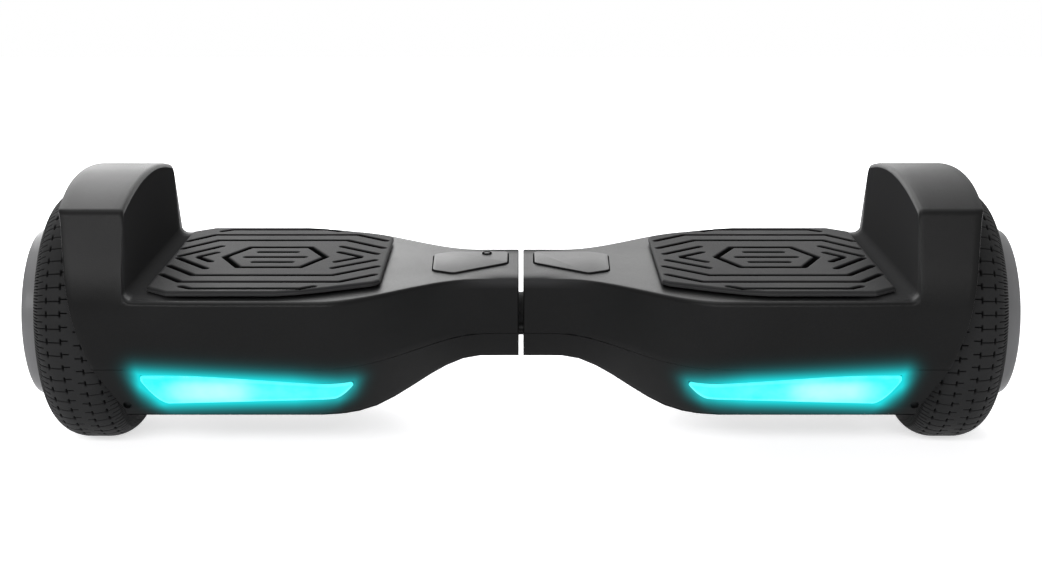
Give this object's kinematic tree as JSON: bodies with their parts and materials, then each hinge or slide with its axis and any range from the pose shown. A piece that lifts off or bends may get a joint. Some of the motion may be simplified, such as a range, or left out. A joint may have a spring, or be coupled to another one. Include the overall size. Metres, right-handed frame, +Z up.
{
  "type": "self-balancing hoverboard",
  "caption": "Self-balancing hoverboard with twisting halves on a middle shaft, foot mats, fenders, lit headlights and hub-motor wheels.",
  "frame": {"origin": "on the floor under the middle of the board", "axes": "+X along the board to the right wheel, +Y away from the headlights, +Z up"},
  "size_m": [0.635, 0.192, 0.1775],
  "materials": {
    "shell_black": "fine texture",
    "mat_rubber": "satin, grooved",
    "lens_cyan": "translucent, lit",
    "led_white": "satin",
    "panel_black": "satin",
    "indicator_dark": "gloss",
    "frame_aluminium": "cast",
    "steel": "machined",
    "dark_steel": "black oxide",
    "bronze": "sintered",
    "sleeve_black": "satin",
    "core_steel": "laminated",
    "copper": "enamelled wire",
    "magnet_grey": "nickel plated",
    "hub_dark": "painted",
    "tyre_black": "moulded",
    "cover_grey": "satin",
    "battery_blue": "wrapped case",
    "board_green": "solder mask",
    "heat_sink": "extruded",
    "cable_black": "jacket"
  },
  "bodies": {
    "right_half": {"right_upper_shell": "shell_black", "right_lower_shell": "shell_black", "right_headlight_lens": "lens_cyan", "right_led_strip": "led_white", "right_top_panel": "panel_black", "right_frame": "frame_aluminium", "pivot_tube": "steel", "pivot_spacer": "sleeve_black", "retaining_ring": "steel", "twist_limit_pin": "steel", "right_axle_clamp": "frame_aluminium", "right_clamp_bolts": "dark_steel", "right_shell_screws": "dark_steel", "right_axle": "steel", "right_stator": "core_steel", "right_stator_coils": "copper", "main_board": "board_green", "heat_sink": "heat_sink", "right_sensor_board": "board_green", "power_switch": "sleeve_black", "charge_socket": "sleeve_black", "cross_cable": "cable_black"},
    "left_half": {"left_upper_shell": "shell_black", "left_lower_shell": "shell_black", "left_headlight_lens": "lens_cyan", "left_led_strip": "led_white", "left_top_panel": "panel_black", "indicator_lens": "indicator_dark", "left_frame": "frame_aluminium", "pivot_bushes": "bronze", "left_axle_clamp": "frame_aluminium", "left_clamp_bolts": "dark_steel", "left_shell_screws": "dark_steel", "left_axle": "steel", "left_stator": "core_steel", "left_stator_coils": "copper", "battery_pack": "battery_blue", "left_sensor_board": "board_green"},
    "left_wheel": {"left_tyre": "tyre_black", "left_hub_shell": "hub_dark", "left_magnet_ring": "magnet_grey", "left_hub_cover": "cover_grey", "left_hub_cover_screws": "dark_steel", "left_hub_bearings": "steel"},
    "right_wheel": {"right_tyre": "tyre_black", "right_hub_shell": "hub_dark", "right_magnet_ring": "magnet_grey", "right_hub_cover": "cover_grey", "right_hub_cover_screws": "dark_steel", "right_hub_bearings": "steel"},
    "left_mat": {"left_foot_mat": "mat_rubber"},
    "right_mat": {"right_foot_mat": "mat_rubber"},
    "power_button": {"power_button": "panel_black"},
    "charge_cap": {"charge_cap": "panel_black"}
  },
  "joints": [
    {"name": "half_twist", "type": "hinge", "parent": "right_half", "child": "left_half", "pos_m": [0, 0, 0.0825], "axis": [1, 0, 0], "range_deg": [-10, 10]},
    {"name": "left_wheel_spin", "type": "hinge", "parent": "left_half", "child": "left_wheel", "pos_m": [-0.277, 0, 0.0825], "axis": [1, 0, 0], "continuous": true},
    {"name": "right_wheel_spin", "type": "hinge", "parent": "right_half", "child": "right_wheel", "pos_m": [0.277, 0, 0.0825], "axis": [1, 0, 0], "continuous": true},
    {"name": "left_mat_press", "type": "slide", "parent": "left_half", "child": "left_mat", "axis": [0, 0, -1], "range_m": [0, 0.001], "stiffness_N_per_m": 20000},
    {"name": "right_mat_press", "type": "slide", "parent": "right_half", "child": "right_mat", "axis": [0, 0, -1], "range_m": [0, 0.001], "stiffness_N_per_m": 20000},
    {"name": "power_button_press", "type": "slide", "parent": "right_half", "child": "power_button", "axis": [0, -0.9459, 0.3243], "range_m": [0, 0.001], "stiffness_N_per_m": 1000},
    {"name": "charge_cap_hinge", "type": "hinge", "parent": "right_half", "child": "charge_cap", "pos_m": [0.188, 0.09283, 0.0648], "axis": [1, 0, 0], "range_deg": [0, 110]}
  ]
}
